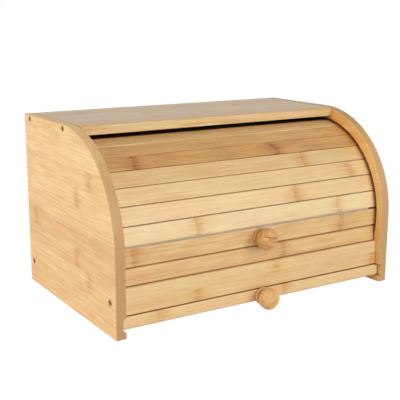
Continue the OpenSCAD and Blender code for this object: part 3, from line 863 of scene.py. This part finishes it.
stretch = 2 * SLAT_BACK * math.tan(math.radians(SLAT_PITCH / 2))
middle = math.radians(FIRST_EDGE + SLAT_PITCH / 2)
face = TRACK_CENTRE + SLAT_BACK * Vector((0, -math.cos(middle), math.sin(middle)))
bpy.ops.object.select_all(action="DESELECT")
bpy.ops.mesh.primitive_plane_add(size=1, location=face * MM, rotation=(math.pi / 2 - middle, 0, 0))
canvas = bpy.context.object
canvas.name = canvas.data.name = "canvas_sheet"
canvas.scale = (CANVAS_WIDTH * MM, stretch * MM, 1)
bpy.ops.object.transform_apply(location=True, rotation=True, scale=True)
bpy.ops.object.mode_set(mode="EDIT")
bpy.ops.mesh.select_mode(type="VERT")
bpy.ops.mesh.select_all(action="DESELECT")
bpy.ops.object.mode_set(mode="OBJECT")
top = max(v.co.z for v in canvas.data.vertices)
up = Vector((0, math.sin(middle), math.cos(middle)))
for v in canvas.data.vertices:
    v.select = v.co.z > top - MM
    if not v.select:
        v.co += LOW_TRIM * MM * up
print("first stretch", round(stretch - LOW_TRIM, 1), "mm high")

# %% [markdown]
# The upper edge is still selected. Each further stretch comes from extruding it and turning it round the
# track's centre, by one slat or by the slack of a wider gap. Then the sheet gets its thickness, away from the
# slats.

# %% The whole canvas
bpy.ops.object.mode_set(mode="EDIT")
for gap in range(len(SLATS) - 1):
    for turn in (*SLACK[gap : gap + 1], SLAT_PITCH):
        bpy.ops.mesh.extrude_region_move()
        bpy.ops.transform.rotate(value=math.radians(turn), orient_axis="X", center_override=TRACK_CENTRE * MM)
bpy.ops.object.mode_set(mode="OBJECT")
thickness = canvas.modifiers.new("thickness", "SOLIDIFY")
thickness.thickness = CANVAS_THICK * MM
thickness.offset = -1
stand_for(canvas, "canvas_backing", "tambour")

# %% [markdown]
# ## The weave
#
# In a plain weave each thread passes over one and under the next. An image of cloth would have to be
# unwrapped, so the weave is worked out from the threads' spacing. A checker says which of the two threads is
# on top, and a sine gives that thread its round back. Along the slats the place is simply x. Across them it's
# the angle round the track's centre times the radius, so the threads stay even where the sheet bends.

# %% Finish the canvas
THREAD = 0.8  # mm, a little coarser than in real canvas, whose threads would not show
THREAD_DEPTH = 0.15  # mm
SLUB = (30, 1.6, 3, 0.35, 0.65)  # threads that are thicker and darker for a stretch
SHADED = (0, 0.6, 0.6, 0)  # the thread's heights where the shade starts and ends, and its share at both


def thread_back(tree, place):
    """The round back of the threads that lie at every THREAD mm of place, from 0 to 1."""
    phase = add(tree, "Math", {0: place, 1: math.pi}, operation="MULTIPLY")
    return add(tree, "Math", {0: add(tree, "Math", {0: phase}, operation="SINE")}, operation="ABSOLUTE")


cotton, tree = new_finish("cotton_canvas")
where = add(tree, "TexCoord").outputs["Object"]
from_centre = add(tree, "VectorMath", {0: where, 1: -TRACK_CENTRE * MM}, operation="ADD")
x, y, z = add(tree, "SeparateXYZ", {0: from_centre}).outputs
to_front = add(tree, "Math", {0: y, 1: -1}, operation="MULTIPLY")
angle = add(tree, "Math", {0: z, 1: to_front}, operation="ARCTAN2")
warp = add(tree, "Math", {0: x, 1: 1 / (THREAD * MM)}, operation="MULTIPLY")
weft = add(tree, "Math", {0: angle, 1: SLAT_BACK / THREAD}, operation="MULTIPLY")
grid = add(tree, "CombineXYZ", {"X": warp, "Y": weft, "Z": 0.5})
over = add(tree, "TexChecker", {"Vector": grid, "Scale": 1, "Color1": (1, 1, 1, 1), "Color2": (0, 0, 0, 1)})
weave = blend(tree, over, thread_back(tree, warp), thread_back(tree, weft))
yarn = blend(tree, layer(tree, where, "X", SLUB, 4), linear("F6EEDC"), linear("E6DAC0"))
colour = blend(tree, spread(tree, weave, *SHADED), yarn, linear("B39E78"))
bump = add(tree, "Bump", {"Strength": 0.7, "Distance": THREAD_DEPTH * MM, "Height": weave})
sockets = {"Base Color": colour, "Roughness": 0.9, "Sheen Weight": 0.15, "Normal": bump}
add(tree, "OutputMaterial", {"Surface": add(tree, "BsdfPrincipled", sockets)})
canvas.data.materials.append(cotton)
print("threads", THREAD, "mm apart")

# %% [markdown]
# ## Screws and brads
#
# The screws are zinc-plated and have dulled to brown in their countersinks. The brads under the drawer are
# plain steel wire. Both are mottled where they dulled, and finely scratched from being driven in. The
# measured pieces have their heads and recesses already, so a metal is all they need.

# %% Finish the screws and brads
SCRATCH = (6, 0.15, 2)  # length and width in mm, and the noise's detail
SCRATCH_DEPTH = 0.02  # mm
MOTTLED = (4, 0.35, 0.65)  # the noise's detail, and the levels that are bright and dull
DULL_ROUGHER = 0.2


def metal(name, bright, dull, roughness, speck):
    """Plated steel, mottled with specks of that many millimetres, with fine scratches."""
    material, tree = new_finish(name)
    where = add(tree, "TexCoord").outputs["Object"]
    tone = layer(tree, where, "X", (speck, speck, *MOTTLED), 2)
    scratch = streaks(tree, where, "Z", *SCRATCH, 3)
    rough = add(tree, "Math", {0: tone, 1: DULL_ROUGHER, 2: roughness}, operation="MULTIPLY_ADD")
    bump = add(tree, "Bump", {"Strength": 0.3, "Distance": SCRATCH_DEPTH * MM, "Height": scratch})
    colour = blend(tree, tone, linear(bright), linear(dull))
    sockets = {"Base Color": colour, "Metallic": 1, "Roughness": rough, "Normal": bump}
    add(tree, "OutputMaterial", {"Surface": add(tree, "BsdfPrincipled", sockets)})
    return material


dulled = metal("dulled_zinc", "B0926A", "7C5C38", 0.5, 1.5)
for piece in ("case_screws_left", "case_screws_right", "tambour_knob_screw", "drawer_knob_screw"):
    finish(piece, dulled)
finish("drawer_brads", metal("plain_steel", "A9A59E", "7C766E", 0.3, 2.5))
print("screws and brads finished")

# %% [markdown]
# ## Dowels
#
# The dowels are raw beech: a pinkish wood with short dark flecks, rays that were cut along the grain. It has
# no lacquer, so it stays matt. The dowels are out of sight in their joints, so two layers of noise are
# enough.

# %% Finish the dowels
RAY = (2.5, 0.4, 2, 0.5, 0.7)
RAY_SHARE = 0.5
BEECH_FIBRE = (30, 0.8, 3)  # length and width in mm, and the noise's detail
BEECH_LEVELS = (0.3, 0.7)
FIBRE_DEPTH = 0.05  # mm

for piece, seed in (("case_dowels", 60), ("drawer_dowels", 61)):
    beech, tree = new_finish("raw_beech_" + piece)
    where = add(tree, "TexCoord").outputs["Object"]
    fleck = layer(tree, where, "X", RAY, seed)
    fibre = streaks(tree, where, "X", *BEECH_FIBRE, seed + 5)
    wood = blend(tree, spread(tree, fibre, *BEECH_LEVELS), linear("E8CDA6"), linear("D3AE80"))
    amount = add(tree, "Math", {0: fleck, 1: RAY_SHARE}, operation="MULTIPLY")
    wood = blend(tree, amount, wood, linear("A87948"))
    bump = add(tree, "Bump", {"Strength": 0.4, "Distance": FIBRE_DEPTH * MM, "Height": fibre})
    sockets = {"Base Color": wood, "Roughness": 0.7, "Normal": bump}
    add(tree, "OutputMaterial", {"Surface": add(tree, "BsdfPrincipled", sockets)})
    finish(piece, beech)
print("dowels finished")
